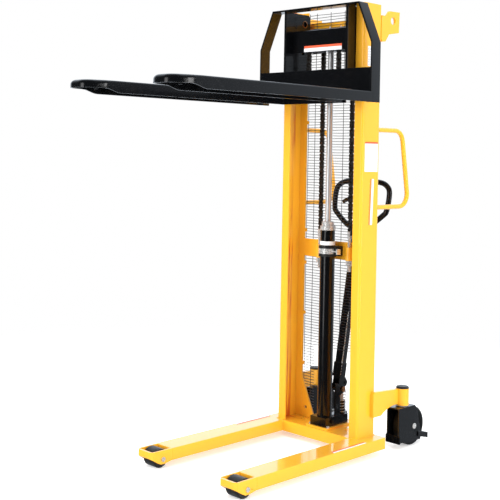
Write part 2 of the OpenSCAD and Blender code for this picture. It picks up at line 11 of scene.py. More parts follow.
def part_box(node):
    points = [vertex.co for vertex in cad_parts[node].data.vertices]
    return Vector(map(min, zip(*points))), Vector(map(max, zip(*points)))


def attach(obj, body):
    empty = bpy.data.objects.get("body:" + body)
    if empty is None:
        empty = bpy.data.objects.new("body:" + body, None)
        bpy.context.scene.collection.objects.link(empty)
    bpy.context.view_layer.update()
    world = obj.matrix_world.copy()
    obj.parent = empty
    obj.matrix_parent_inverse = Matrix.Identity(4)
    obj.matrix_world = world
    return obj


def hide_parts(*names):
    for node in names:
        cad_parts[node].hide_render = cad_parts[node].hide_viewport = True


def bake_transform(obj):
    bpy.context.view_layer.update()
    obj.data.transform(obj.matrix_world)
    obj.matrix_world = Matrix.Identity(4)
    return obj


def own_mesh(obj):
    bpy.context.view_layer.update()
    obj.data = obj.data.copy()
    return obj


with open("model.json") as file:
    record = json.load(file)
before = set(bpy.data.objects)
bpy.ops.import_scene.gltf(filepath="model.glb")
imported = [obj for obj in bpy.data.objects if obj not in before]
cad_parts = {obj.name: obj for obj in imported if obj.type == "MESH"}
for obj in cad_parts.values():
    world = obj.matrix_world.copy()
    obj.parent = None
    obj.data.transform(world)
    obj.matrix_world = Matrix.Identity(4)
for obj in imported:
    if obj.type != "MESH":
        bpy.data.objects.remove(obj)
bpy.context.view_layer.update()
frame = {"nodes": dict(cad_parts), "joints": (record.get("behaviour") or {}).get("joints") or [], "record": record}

MM = 0.001
MAST_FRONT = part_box("mast_channel_left")[0].y
X_AXIS, Y_AXIS, Z_AXIS = Vector((1, 0, 0)), Vector((0, 1, 0)), Vector((0, 0, 1))


def at(x, y, z):
    """A point in the row frame, in metres, from millimetres measured off the mast's front face."""
    return Vector((x * MM, y * MM + MAST_FRONT, z * MM))


def span(node):
    """(x0, x1), (y0, y1), (z0, z1) of a CAD node, in millimetres off the mast's front face."""
    low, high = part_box(node)
    shift = (0, MAST_FRONT, 0)
    return [((a - s) / MM, (b - s) / MM) for a, b, s in zip(low, high, shift)]


# ---- materials ----


class Surface:
    """A Principled material and the procedural nodes that feed it, all in object space in metres."""

    def __init__(self, name, colour, **values):
        self.material = bpy.data.materials.new(name)
        self.material.use_nodes = True
        self.tree = self.material.node_tree
        self.shader = self.tree.nodes["Principled BSDF"]
        self.place = self.node("ShaderNodeTexCoord").outputs["Object"]
        self.colour = colour + (1,)
        self.shader.inputs["Base Color"].default_value = self.colour
        self.normal = None
        for name, value in values.items():
            self.shader.inputs[name.replace("_", " ").title().replace("Ior", "IOR")].default_value = value

    def node(self, kind, inputs=None, **settings):
        made = self.tree.nodes.new(kind)
        for name, value in settings.items():
            setattr(made, name, value)
        for name, value in (inputs or {}).items():
            if isinstance(value, bpy.types.NodeSocket):
                self.tree.links.new(value, made.inputs[name])
            else:
                made.inputs[name].default_value = value
        return made

    def stretched(self, scale):
        return self.node("ShaderNodeMapping", {"Vector": self.place, "Scale": scale}).outputs[0]

    def noise(self, scale, detail=3, stretch=(1, 1, 1), rough=0.5):
        inputs = {"Vector": self.stretched(stretch), "Scale": scale, "Detail": detail, "Roughness": rough}
        return self.node("ShaderNodeTexNoise", inputs).outputs[0]

    def ranged(self, value, low, high, to_low=0, to_high=1):
        inputs = {"Value": value, "From Min": low, "From Max": high, "To Min": to_low, "To Max": to_high}
        return self.node("ShaderNodeMapRange", inputs, interpolation_type="SMOOTHSTEP").outputs[0]

    def maths(self, operation, a, b=0.0):
        return self.node("ShaderNodeMath", {0: a, 1: b}, operation=operation).outputs[0]

    def axis(self, name):
        return self.node("ShaderNodeSeparateXYZ", {0: self.place}).outputs[name]

    def inside(self, name, low, high, soft):
        """1 where a coordinate is between low and high, fading over soft."""
        value = self.axis(name)
        rise = self.ranged(value, low - soft, low)
        return self.maths("MULTIPLY", rise, self.ranged(value, high, high + soft, 1, 0))

    def tint(self, factor, colour):
        """Lays colour over what the base colour is so far."""
        socket = self.shader.inputs["Base Color"]
        below = socket.links[0].from_socket if socket.is_linked else socket.default_value[:]
        mixed = self.node("ShaderNodeMix", {0: factor, 6: below, 7: colour + (1,)}, data_type="RGBA")
        self.tree.links.new(mixed.outputs[2], socket)
        return self

    def roughen(self, value, low, high, to_low, to_high):
        self.tree.links.new(self.ranged(value, low, high, to_low, to_high), self.shader.inputs["Roughness"])
        return self

    def bump(self, height, strength, distance):
        inputs = {"Height": height, "Strength": strength, "Distance": distance}
        if self.normal:
            inputs["Normal"] = self.normal
        self.normal = self.node("ShaderNodeBump", inputs).outputs[0]
        self.tree.links.new(self.normal, self.shader.inputs["Normal"])
        return self


def yellow_paint():
    """Gloss powder coat, darker towards the bottom in patches, rust coloured tracks inside the mast, and a painted
    shadow at the top crossbeam's left end.
    """
    paint = Surface("yellow_paint", (0.93, 0.44, 0.024), Coat_Weight=1.0, Coat_Roughness=0.03)
    paint.tint(paint.ranged(paint.noise(3, 2), 0.35, 0.75, 0, 0.12), (0.92, 0.43, 0.022))
    # Darker towards the bottom, in noisy patches.
    darker_low_down = paint.ranged(paint.axis("Z"), 0.02, 0.11, 0.22, 0)
    paint.tint(paint.maths("MULTIPLY", darker_low_down, paint.noise(9, 4)), (0.42, 0.20, 0.03))
    streak = paint.ranged(paint.noise(75, 4, (1, 1, 0.03), 0.6), 0.47, 0.57, 0.1, 1)
    patch = paint.ranged(paint.noise(5, 3, (1, 1, 0.6)), 0.36, 0.58, 0.3, 1)
    webs = [paint.inside("X", *sorted((side * 0.2336, side * 0.19)), 0.001) for side in (-1, 1)]
    depth = paint.inside("Y", MAST_FRONT + 0.052, MAST_FRONT + 0.074, 0.016)
    tracks = paint.maths("MULTIPLY", paint.maths("MAXIMUM", *webs), depth)
    worn = paint.maths("MULTIPLY", paint.maths("MULTIPLY", streak, patch), tracks)
    paint.tint(paint.maths("MULTIPLY", worn, 0.95), (0.55, 0.07, 0.010))
    # Painted shadow: brown laid on the top crossbeam just inside the left mast channel, where shade falls on it.
    beam = span("top_crossbeam")
    end = paint.inside("Z", beam[2][0] * MM, beam[2][1] * MM, 0.001)
    end = paint.maths("MULTIPLY", end, paint.inside("X", -0.186, -0.176, 0.012))
    paint.tint(paint.maths("MULTIPLY", end, 0.8), (0.55, 0.11, 0.012))
    paint.roughen(paint.noise(60, 4), 0.3, 0.7, 0.28, 0.32)
    return paint.bump(paint.noise(300, 2), 0.01, 0.0006).bump(paint.noise(1500, 2), 0.01, 0.0002)


def black_paint():
    """Gloss black enamel with orange peel, a few dust specks, and faint brown patches painted in as a reflection
    of the yellow mast.
    """
    paint = Surface("black_paint", (0.0020, 0.0022, 0.0028), Coat_Weight=0.35, Coat_Roughness=0.06)
    # Painted reflection: faint brown patches stand for the warm yellow mast mirrored in the black.
    paint.tint(paint.ranged(paint.noise(11, 5), 0.55, 0.8, 0, 0.4), (0.007, 0.0055, 0.005))
    paint.tint(paint.ranged(paint.noise(900, 2), 0.72, 0.78, 0, 0.35), (0.06, 0.06, 0.065))
    paint.roughen(paint.noise(45, 5), 0.3, 0.7, 0.14, 0.26)
    return paint.bump(paint.noise(250, 2), 0.03, 0.0006).bump(paint.noise(1800, 2), 0.02, 0.0002)


def oiled_steel(name, colour, grease, roughness):
    """Dark chain or roller steel with patches of grease."""
    steel = Surface(name, colour, Metallic=0.85)
    steel.tint(steel.ranged(steel.noise(110, 4), 0.42, 0.62, 0, 0.85), grease)
    steel.roughen(steel.noise(160, 3), 0.3, 0.7, roughness, roughness + 0.25)
    return steel.bump(steel.noise(900, 3), 0.15, 0.0003)


def mesh_wire():
    """Satin grey lacquer on drawn wire, thin in places."""
    wire = Surface("mesh_wire", (0.04, 0.04, 0.047), Metallic=0.3)
    wire.tint(wire.ranged(wire.noise(60, 3), 0.5, 0.75, 0, 0.6), (0.12, 0.115, 0.12))
    wire.roughen(wire.noise(300, 2), 0.3, 0.7, 0.3, 0.5)
    return wire.bump(wire.noise(1200, 2), 0.1, 0.0002)


def chrome():
    """Ground and plated bar: fine rings round its length, and warm streaks painted in as a reflection of the
    yellow mast.
    """
    bar = Surface("chrome", (0.86, 0.86, 0.87), Metallic=0.7)
    # Painted reflection: warm streaks along the bar stand for the yellow mast mirrored in it.
    bar.tint(bar.ranged(bar.noise(24, 4, (1, 1, 0.3)), 0.55, 0.8, 0, 0.4), (0.60, 0.50, 0.42))
    bar.roughen(bar.noise(500, 2, (0.02, 0.02, 1)), 0.3, 0.7, 0.12, 0.20)
    return bar.bump(bar.noise(2500, 2, (0.02, 0.02, 1)), 0.02, 0.0001)


def zinc_steel():
    """Zinc plating with pale and dull patches."""
    zinc = Surface("zinc_steel", (0.76, 0.76, 0.75), Metallic=0.6)
    zinc.tint(zinc.ranged(zinc.noise(130, 4), 0.4, 0.65, 0, 0.7), (0.58, 0.57, 0.54))
    zinc.roughen(zinc.noise(200, 4), 0.3, 0.7, 0.24, 0.34)
    return zinc.bump(zinc.noise(1100, 3), 0.02, 0.0002)


def copper_pin():
    pin = Surface("copper_pin", (0.62, 0.30, 0.15), Metallic=1.0)
    pin.tint(pin.ranged(pin.noise(160, 4), 0.45, 0.7, 0, 0.8), (0.30, 0.14, 0.07))
    pin.roughen(pin.noise(300, 3), 0.3, 0.7, 0.22, 0.4)
    return pin.bump(pin.noise(1500, 2), 0.1, 0.0002)


def moulded(name, colour, pale, roughness, grain):
    """Plastic or rubber: fine moulded grain, scuffed paler in patches."""
    skin = Surface(name, colour)
    skin.tint(skin.ranged(skin.noise(45, 5), 0.5, 0.75, 0, 0.6), pale)
    skin.roughen(skin.noise(90, 4), 0.3, 0.7, roughness, roughness + 0.2)
    return skin.bump(skin.noise(grain, 3), 0.2, 0.0004)


def printed(name, colour, shade):
    """Vinyl label film, slightly uneven in its ink."""
    film = Surface(name, colour, Coat_Weight=0.2, Coat_Roughness=0.2)
    film.tint(film.ranged(film.noise(200, 3), 0.4, 0.7, 0, 0.35), shade)
    film.roughen(film.noise(80, 3), 0.3, 0.7, 0.35, 0.5)
    return film.bump(film.noise(900, 2), 0.05, 0.0001)


SURFACES = {
    "yellow_paint": yellow_paint(),
    "black_paint": black_paint(),
    "chain_steel": oiled_steel("chain_steel", (0.10, 0.095, 0.09), (0.035, 0.020, 0.012), 0.30),
    "mesh_wire": mesh_wire(),
    "chrome": chrome(),
    "zinc_steel": zinc_steel(),
    "white_plastic": moulded("white_plastic", (0.80, 0.80, 0.78), (0.62, 0.60, 0.55), 0.35, 700),
    "rubber": moulded("rubber", (0.012, 0.012, 0.012), (0.035, 0.034, 0.033), 0.45, 900),
    "copper_pin": copper_pin(),
    "roller_steel": oiled_steel("roller_steel", (0.16, 0.16, 0.165), (0.05, 0.033, 0.02), 0.25),
    "roller_plastic": moulded("roller_plastic", (0.016, 0.016, 0.017), (0.06, 0.06, 0.062), 0.3, 1200),
    "tyre": moulded("tyre", (0.004, 0.004, 0.0045), (0.014, 0.0135, 0.013), 0.42, 700),
}
LABEL_WHITE = printed("label_white", (0.82, 0.82, 0.84), (0.74, 0.74, 0.75)).material
LABEL_RED = printed("label_red", (0.78, 0.11, 0.04), (0.68, 0.08, 0.03)).material
LABEL_ORANGE = printed("label_orange", (0.85, 0.24, 0.04), (0.76, 0.19, 0.03)).material
LABEL_GREY = printed("label_grey", (0.58, 0.58, 0.61), (0.64, 0.64, 0.66)).material
SLOTS = {row["node"]: row["material_slot"] for row in frame["record"]["subparts"]}


# ---- mesh tools ----


def add_object(name, data, body, slot, *stood_for):
    """Puts mesh or curve data on its body, with its finish, in place of the CAD nodes it stands for."""
    piece = bpy.data.objects.new(name, data)
    bpy.context.scene.collection.objects.link(piece)
    if not data.materials:
        data.materials.append(SURFACES[slot].material)
    if stood_for:
        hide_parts(*stood_for)
    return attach(piece, body) if body else piece


def add_mesh(name, bm, body, slot, *stood_for, bevel=0.0, smooth=35):
    """Makes a piece from a bmesh, with its corners rounded by bevel millimetres."""
    bmesh.ops.recalc_face_normals(bm, faces=bm.faces)
    data = bpy.data.meshes.new(name)
    bm.to_mesh(data)
    bm.free()
    piece = add_object(name, data, body, slot, *stood_for)
    shade(piece, bevel, smooth)
    return piece


def shade(piece, bevel, smooth=35, segments=2):
    """Smooth shading below an angle, or rounded edges above it."""
    data = piece.data
    data.polygons.foreach_set("use_smooth", [True] * len(data.polygons))
    if bevel:
        rounded = piece.modifiers.new("rounded", "BEVEL")
        rounded.width, rounded.segments = bevel * MM, segments
        rounded.limit_method, rounded.angle_limit = "ANGLE", radians(smooth)
        flat = piece.modifiers.new("flat_faces", "WEIGHTED_NORMAL")
        flat.weight, flat.keep_sharp = 100, False
    else:
        data.set_sharp_from_angle(angle=radians(smooth))


def ring_of(axis, count, radius, start=0.0):
    """Points round an axis through the origin."""
    side = Z_AXIS if abs(axis.z) < 0.9 else X_AXIS
    u = axis.cross(side).normalized()
    v = axis.cross(u).normalized()
    turns = [start + tau * i / count for i in range(count)]
    return [(u * cos(t) + v * sin(t)) * radius for t in turns]


def turned(bm, centre, axis, profile, count=48):
    """A turned solid: profile holds (radius, distance along the axis) in millimetres, from end to end."""
    rings = []
    for radius, along in profile:
        middle = centre + axis * along * MM
        if radius == 0:
            rings.append([bm.verts.new(middle)])
        else:
            rings.append([bm.verts.new(middle + p) for p in ring_of(axis, count, radius * MM)])
    for a, b in zip(rings, rings[1:] + rings[:1]):
        for i in range(count):
            corners = [a[i % len(a)], a[(i + 1) % len(a)], b[(i + 1) % len(b)], b[i % len(b)]]
            corners = [c for n, c in enumerate(corners) if c not in corners[:n]]
            if len(corners) > 2:
                bm.faces.new(corners)


def bar(bm, start, end, radius, count=16):
    """A closed round bar between two points, its radius in millimetres."""
    axis = (end - start).normalized()
    length = (end - start).length / MM
    turned(bm, start, axis, [(0, 0), (radius, 0), (radius, length), (0, length)], count)


def block(bm, low, high):
    """A box between two corners in metres."""
    middle, size = (low + high) / 2, high - low
    shape = Matrix.Translation(middle) @ Matrix.Diagonal((*size, 1))
    bmesh.ops.create_cube(bm, size=1, matrix=shape)


def plate(bm, outline, thickness):
    """A flat plate: outline is a loop of points in metres, pushed out along thickness."""
    near = [bm.verts.new(p) for p in outline]
    far = [bm.verts.new(p + thickness) for p in outline]
    bm.faces.new(near[::-1])
    bm.faces.new(far)
    for i in range(len(near)):
        j = (i + 1) % len(near)
        bm.faces.new([near[i], near[j], far[j], far[i]])


def swept(bm, path, radius, sides=8):
    """A round wire along a path, closed at its ends. The radius is in millimetres."""
    rings = []
    across = (path[1] - path[0]).orthogonal()
    for i, p in enumerate(path):
        way = (path[min(i + 1, len(path) - 1)] - path[max(i - 1, 0)]).normalized()
        across = (across - way * across.dot(way)).normalized()
        up = way.cross(across)
        turns = [tau * k / sides for k in range(sides)]
        rings.append([bm.verts.new(p + (across * cos(t) + up * sin(t)) * radius * MM) for t in turns])
    for a, b in zip(rings, rings[1:]):
        for k in range(sides):
            j = (k + 1) % sides
            bm.faces.new([a[k], a[j], b[j], b[k]])
    bm.faces.new(rings[0][::-1])
    bm.faces.new(rings[-1])


def coil(x, y, z0, z1, radius, turns, closed=1.0):
    """Points of an upright coil spring with flattened end turns. Radius is to the wire's middle."""
    points = []
    steps = 20
    for i in range(round(turns * steps) + 1):
        turn = i / steps
        climb = min(max((turn - closed) / (turns - 2 * closed), 0), 1)
        z = z0 + (z1 - z0) * climb
        points.append(at(x + radius * cos(tau * turn), y + radius * sin(tau * turn), z))
    return points


def hexagon(bm, start, axis, across, height):
    """A nut or bolt head with chamfered corners, its height running along the axis."""
    radius = across / 3 ** 0.5
    rings = [(radius * 0.9, 0), (radius, height * 0.12), (radius, height * 0.88), (radius * 0.9, height)]
    turned(bm, start, axis, [(0, 0), *rings, (0, height)], 6)


def bolt(bm, start, axis, size):
    """A washer and a hexagon head, standing out along the axis."""
    turned(bm, start, axis, [(0, 0), (size * 1.0, 0), (size * 1.0, size * 0.16), (0, size * 0.16)], 24)
    hexagon(bm, start + axis * size * 0.15 * MM, axis, size * 1.6, size * 0.64)


def smooth_path(points, steps=8):
    """A Catmull-Rom curve through points, as a list with steps points for each stretch."""
    ends = [points[0] * 2 - points[1], *points, points[-1] * 2 - points[-2]]
    made = []
    for a, b, c, d in zip(ends, ends[1:], ends[2:], ends[3:]):
        for i in range(steps):
            t = i / steps
            cubic = (3 * b - a - 3 * c + d) * t ** 3 + (2 * a - 5 * b + 4 * c - d) * t ** 2
            made.append((cubic + (c - a) * t + 2 * b) / 2)
    return made + [points[-1]]


def tubes(name, paths, radius, body, slot, *stood_for, closed=False, sides=3):
    """Round wire or tube along each path, in one curve object. The radius is in millimetres."""
    data = bpy.data.curves.new(name, "CURVE")
    data.dimensions = "3D"
    data.bevel_depth, data.bevel_resolution = radius * MM, sides
    data.use_fill_caps = True
    for path in paths:
        spline = data.splines.new("POLY")
        spline.points.add(len(path) - 1)
        spline.points.foreach_set("co", [n for p in path for n in (*p, 1)])
        spline.use_cyclic_u = closed
        spline.use_smooth = True
    return add_object(name, data, body, slot, *stood_for)


def weld(name, paths, radius, body, slot):
    """A weld bead along each straight path: overlapping scales of slightly uneven size."""
    bm = bmesh.new()
    for start, end in paths:
        length = (end - start).length / MM
        axis = (end - start).normalized()
        pitch = radius * 0.8
        rings = []
        for i in range(max(2, ceil(length / pitch)) * 3):
            ripple = 1 + 0.16 * abs(sin(i * pi / 3)) + 0.05 * sin(i * 1.7)
            rings.append((radius * ripple, i * pitch / 3))
        turned(bm, start, axis, [(0, 0), *rings, (0, rings[-1][1])], 8)
    return add_mesh(name, bm, body, slot, smooth=80)


# ---- frame nodes that keep their shape ----

EDGE_MM = {"backrest": 1.6, "front_plate": 1.6, "handle_loop": 0.2}


def finish_nodes():
    """Gives every CAD node its material and rounds its edges. Fine parts get finer edges."""
    for name, node in frame["nodes"].items():
        node.data.materials.clear()
        node.data.materials.append(SURFACES[SLOTS[name]].material)
        if "custom_normal" in node.data.attributes:
            node.data.attributes.remove(node.data.attributes["custom_normal"])
        merged = node.modifiers.new("merged", "WELD")
        merged.merge_threshold = 0.00001
        low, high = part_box(name)
        thinnest = min(high - low) / MM
        shade(node, EDGE_MM.get(name, 0.6 if thinnest < 30 else 1.2), 30)


# ---- forks ----


# Corner and nose of a fork, seen from above and along it
NOSE_R = 62
NOSE_IN = 68
SIDE_ROUND = 8
NOSE_ROUND_WIDE = 22
NOSE_ROUND_DEEP = 18
CUT_BACK = 16


def smoothstep(value):
    value = min(max(value, 0), 1)
    return value * value * (3 - 2 * value)


def fork_plan(x0, x1, tip, back):
    """Corners of a fork seen from above, round its nose, each with its inward direction."""
    heights = [tip + d for d in (165, 153, 141, 129, 117, 105, 90)]
    left = [(x0, y, 1, 0) for y in heights]
    right = [(x1, y, -1, 0) for y in heights[::-1]]
    nose = []
    for centre, start in ((x0 + NOSE_IN, 190), (x1 - NOSE_IN, 278)):
        for i in range(10):
            turn = radians(start + 8 * i)
            out_x, out_y = cos(turn), sin(turn)
            nose.append((centre + NOSE_R * out_x, tip + NOSE_R + NOSE_R * out_y, -out_x, -out_y))
    return [(x0, back, 1, 0), *left, *nose, *right, (x1, back, -1, 0)]


def fork_shells():
    """Pressed forks: a deck that rolls over into its sides, cut back underneath towards a rounded nose."""
    (x0, x1), (y0, y1), (z0, z1) = span("fork_right")
    tip, wall, deck = y0 + 0.6, 6, 6
    plan = fork_plan(x0, x1, tip, y1)

    def ring(bm, side, inset, height):
        """One loop of corners. inset(n) and height(y, n) know how near the nose they are, from 0 to 1."""
        made = []
        for x, y, in_x, in_y in plan:
            n = smoothstep((tip + 150 - y) / 110)
            made.append(bm.verts.new(at(side * (x + in_x * inset(n)), y + in_y * inset(n), height(y, n))))
        return made

    def lower_edge(y, _):
        return z0 + CUT_BACK * smoothstep((tip + 165 - y) / 75)

    def between(side_value, nose_value, n):
        return side_value + (nose_value - side_value) * n

    for side, name in ((-1, "left"), (1, "right")):
        bm = bmesh.new()
        rings = []
        for t in [pi / 2 * k / 6 for k in range(7)]:
            rings.append(ring(
                bm, side,
                lambda n, t=t: between(SIDE_ROUND, NOSE_ROUND_WIDE, n) * (1 - sin(t)),
                lambda y, n, t=t: z1 - between(SIDE_ROUND, NOSE_ROUND_DEEP, n) * (1 - cos(t))))
        rings.append(ring(bm, side, lambda n: 0, lower_edge))
        rings.append(ring(bm, side, lambda n: wall, lower_edge))
        rings.append(ring(bm, side, lambda n: wall, lambda y, n: z1 - deck - between(3, 9, n)))
        rings.append(ring(bm, side, lambda n: wall + between(3, 9, n), lambda y, n: z1 - deck))
        for a, b in zip(rings, rings[1:]):
            for i in range(len(plan) - 1):
                bm.faces.new([a[i], a[i + 1], b[i + 1], b[i]])
        bm.faces.new([r[-1] for r in rings] + [r[0] for r in rings[::-1]])
        bm.faces.new(rings[0])
        bm.faces.new(rings[-1])
        bmesh.ops.recalc_face_normals(bm, faces=bm.faces)
        for x in (x0 + 40, x1 - 46):
            block(bm, at(side * x - 3, tip + 62, z0 + 12), at(side * x + 3, tip + 78, z1 - deck + 1))
        add_mesh(f"fork_shell_{name}", bm, "carriage", "black_paint", f"fork_{name}", bevel=0.8, smooth=50)


# ---- chains ----

LIFT = frame["joints"][0]["range_m"]
RAM_TRAVEL = -LIFT[0] / MM
CHAIN_STEPS = 10
STEP_LINKS = 4
PITCH = RAM_TRAVEL / (CHAIN_STEPS * STEP_LINKS)
WRAP = span("chain_wraps")
PULLEY_X = sum(span("pulley_right")[0]) / 2
PULLEY_Y = sum(span("pulley_right")[1]) / 2
PULLEY_Z = sum(span("pulley_right")[2]) / 2
CHAIN_DEEP = 18
CHAIN_R = (WRAP[1][1] - WRAP[1][0]) / 2 - CHAIN_DEEP / 2
PLATE_T = 2.5
PLATE_GAP = 2.9
PLATE_END_R = 8.2
PLATE_WAIST = 5.0
PIN_R = 3.0
PIN_HALF = 11.2


def link(bm, x, a, b, outer, shrink=1.0):
    """A leaf chain link between two pin centres in the YZ plane: four outer or three inner leaves, and a pin."""
    along = (b - a).normalized()
    across = along.cross(X_AXIS)
    outline = []
    for centre, sign in ((b, 1), (a, -1)):
        for i in range(7):
            turn = radians(-75 + 25 * i)
            out = along * cos(turn) + across * sin(turn)
            outline.append(centre + out * PLATE_END_R * MM * sign * shrink)
        outline.append((a + b) / 2 + across * PLATE_WAIST * MM * sign * shrink)
    layers = (-3, -1, 1, 3) if outer else (-2, 0, 2)
    for layer in layers:
        near = x + (layer * PLATE_GAP - PLATE_T / 2) * shrink
        plate(bm, [p + X_AXIS * near * MM for p in outline], X_AXIS * PLATE_T * shrink * MM)
    middle = a + X_AXIS * x * MM
    bar(bm, middle - X_AXIS * PIN_HALF * shrink * MM, middle + X_AXIS * PIN_HALF * shrink * MM, PIN_R, 10)


def run_of_links(name, y, first, count, shrink):
    """Both chains' links numbered from first, counted down from the pulley's middle height."""
    bm = bmesh.new()
    for side in (-1, 1):
        for i in range(first, first + count):
            a, b = at(0, y, PULLEY_Z - i * PITCH), at(0, y, PULLEY_Z - (i + 1) * PITCH)
            link(bm, side * PULLEY_X, a, b, i % 2 == 0, shrink)
    return add_mesh(name, bm, None, "chain_steel")


def share_ride(piece, parent, child, share):
    """The piece rides the parent at share 0 and the child at share 1; at any share between, its transform is baked
    in and it rides no body.
    """
    if share in (0, 1):
        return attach(piece, child if share else parent)
    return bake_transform(piece)


def chains():
    """Each straight run is a pack of short lengths: the end lengths ride their bodies, and the lengths between are
    baked in place on no body.
    """
    rear_links = round((PULLEY_Z - span("chain_anchors")[2][1]) / PITCH) + 1
    spare = 2
    rear_top = rear_links - CHAIN_STEPS * STEP_LINKS - spare
    for k in range(CHAIN_STEPS + 1):
        moving = k == CHAIN_STEPS
        first = 0 if moving else rear_top + STEP_LINKS * (CHAIN_STEPS - 1 - k)
        shrink = 1 - 0.008 * (CHAIN_STEPS - k)
        count = rear_top if moving else STEP_LINKS if k else STEP_LINKS + spare
        piece = run_of_links(f"rear_chain_{k}", PULLEY_Y + CHAIN_R, first, count, shrink)
        share_ride(piece, "chassis", "ram", k / CHAIN_STEPS)
        if moving:
            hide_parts("rear_chains")
    links_down = ceil((PULLEY_Z - span("front_chains")[2][0]) / PITCH)
    for k in range(CHAIN_STEPS + 1):
        first, count = (links_down - STEP_LINKS, STEP_LINKS) if k else (0, links_down)
        piece = run_of_links(f"front_chain_{k}", PULLEY_Y - CHAIN_R, first, count, 1 - 0.008 * k)
        share_ride(piece, "ram", "carriage", k / CHAIN_STEPS)
        if k == 0:
            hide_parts("front_chains")
    bm = bmesh.new()
    count = 9
    for side in (-1, 1):
        for i in range(count):
            turns = [pi * (i + j) / count for j in (0, 1)]
            a, b = [at(0, PULLEY_Y + CHAIN_R * cos(t), PULLEY_Z + CHAIN_R * sin(t)) for t in turns]
            link(bm, side * PULLEY_X, a, b, i % 2 == 1)
    add_mesh("chain_wrap_links", bm, "ram", "chain_steel", "chain_wraps")


def anchors():
    """Threaded rods, nuts and clevises that hold the rear chains on the mid brace."""
    z0, z1 = span("chain_anchors")[2]
    y = PULLEY_Y + CHAIN_R - 3
    bm = bmesh.new()
    for side in (-1, 1):
        x = side * PULLEY_X
        pitch = 2.0
        thread = []
        for i in range(int((z1 - 37 - z0) / pitch)):
            thread += [(7.9, i * pitch), (7.0, i * pitch + pitch * 0.55)]
        end = thread[-1][1] + 1
        turned(bm, at(x, y, z0), Z_AXIS, [(0, 0), (6.4, 0), *thread, (7.9, end), (0, end)], 20)
        for z in (z0 + 27, z0 + 40):
            hexagon(bm, at(x, y, z), Z_AXIS, 26, 11.4)
        turned(bm, at(x, y, z0 + 51.6), Z_AXIS, [(8, 0), (16.5, 0), (16.5, 1.3), (8, 1.3)], 28)
        turns = [pi * i / 10 for i in range(11)]
        rounds = [at(x - 6.8, y + 8.6 * cos(t) + 1.5, z1 - 10 + 9 * sin(t)) for t in turns]
        foot = [at(x - 6.8, y - 7, z1 - 36), at(x - 6.8, y + 7, z1 - 36)]
        plate(bm, rounds + foot, X_AXIS * 13.6 * MM)
    add_mesh("chain_anchor_rods", bm, "chassis", "zinc_steel", "chain_anchors", bevel=0.4)


# ---- mesh guard ----


def mesh_guard():
    """Welded wire mesh: the level wires sag and wander a little between the uprights."""
    (x0, x1), (y0, y1), (z0, z1) = span("mesh_guard")
    radius = 1.35
    front, back = y0 + 1.5, y1 - 1.5
    uprights = [-192, -149, -63, 23, 110, 192]
    notch_half, notch_top, pitch = 130, 420, 13
    paths = []
    for n, x in enumerate(uprights):
        bottom = notch_top if abs(x) < notch_half else z0
        steps = int((z1 - bottom) / 60)
        heights = [bottom + (z1 - bottom) * i / steps for i in range(steps + 1)]
        paths.append([at(x + 0.9 * sin(z / 170 + n * 2), front, z) for z in heights])
    for row in range(int((z1 - z0 - 4) / pitch) + 1):
        z = z0 + 4 + row * pitch
        stretches = [(x0, x1)] if z > notch_top else [(x0, -notch_half), (notch_half, x1)]
        for a, b in stretches:
            steps = max(3, int((b - a) / 22))
            places = [a + (b - a) * i / steps for i in range(steps + 1)]
            sway = [0.6 * sin(x / 37 + row * 1.9) + 0.4 * sin(x / 15 + row * 4.1) for x in places]
            paths.append([at(x, back + 0.3 * sin(x / 21 + row), z + s) for x, s in zip(places, sway)])
    tubes("mesh_guard_wires", paths, radius, "chassis", "mesh_wire", "mesh_guard", sides=1)


# ---- tubes and handles ----


def arc(centre, radius, start, end, steps=10):
    """(across, up) points of an arc, its angles in degrees."""
    turns = [radians(start + (end - start) * i / steps) for i in range(steps + 1)]
    return [(centre[0] + radius * cos(t), centre[1] + radius * sin(t)) for t in turns]


def grab_handles():
    """Bent tube handles on the mast sides, with a weld collar at each end."""
    (x0, x1), (_, y1), (z0, z1) = span("grab_handle_right")
    radius, bend, slope = 11, 58, 9.6
    x, top, bottom = (x0 + x1) / 2, z1 - radius, z0 + radius
    mast_back = span("mast_channel_right")[1][1]
    reach_low = y1 - radius - bend
    reach_top = reach_low - (top - bottom - 2 * bend) * sin(radians(slope)) / cos(radians(slope))
    line = [(mast_back - 4, top), *arc((reach_top, top - bend), bend, 90, slope)]
    line += [*arc((reach_low, bottom + bend), bend, slope, -90), (mast_back - 4, bottom)]
    for side, name in ((-1, "left"), (1, "right")):
        path = [at(side * x, y, z) for y, z in line]
        node = f"grab_handle_{name}"
        tubes(f"grab_tube_{name}", [path], radius, "chassis", "yellow_paint", node, sides=6)
        bm = bmesh.new()
        for z in (top, bottom):
            bead = [(radius + 3.2 * cos(t), 3.2 * sin(t)) for t in [pi / 2 * i / 5 for i in range(6)]]
            profile = [(radius - 2, 0), *bead, (radius - 2, 3.2)]
            turned(bm, at(side * x, mast_back - 0.5, z), Y_AXIS, profile, 28)
        add_mesh(f"grab_weld_{name}", bm, "chassis", "yellow_paint", smooth=50)


LEAN = radians(9.8)
FULCRUM = [sum(span("fulcrum_pin")[1]) / 2, sum(span("fulcrum_pin")[2]) / 2]


def on_handle(x, y, v):
    """A point on the leaning pump handle: x across, y behind its plane, v up its length from the fulcrum."""
    return at(x, FULCRUM[0] + y * cos(LEAN) + v * sin(LEAN), FULCRUM[1] - y * sin(LEAN) + v * cos(LEAN))


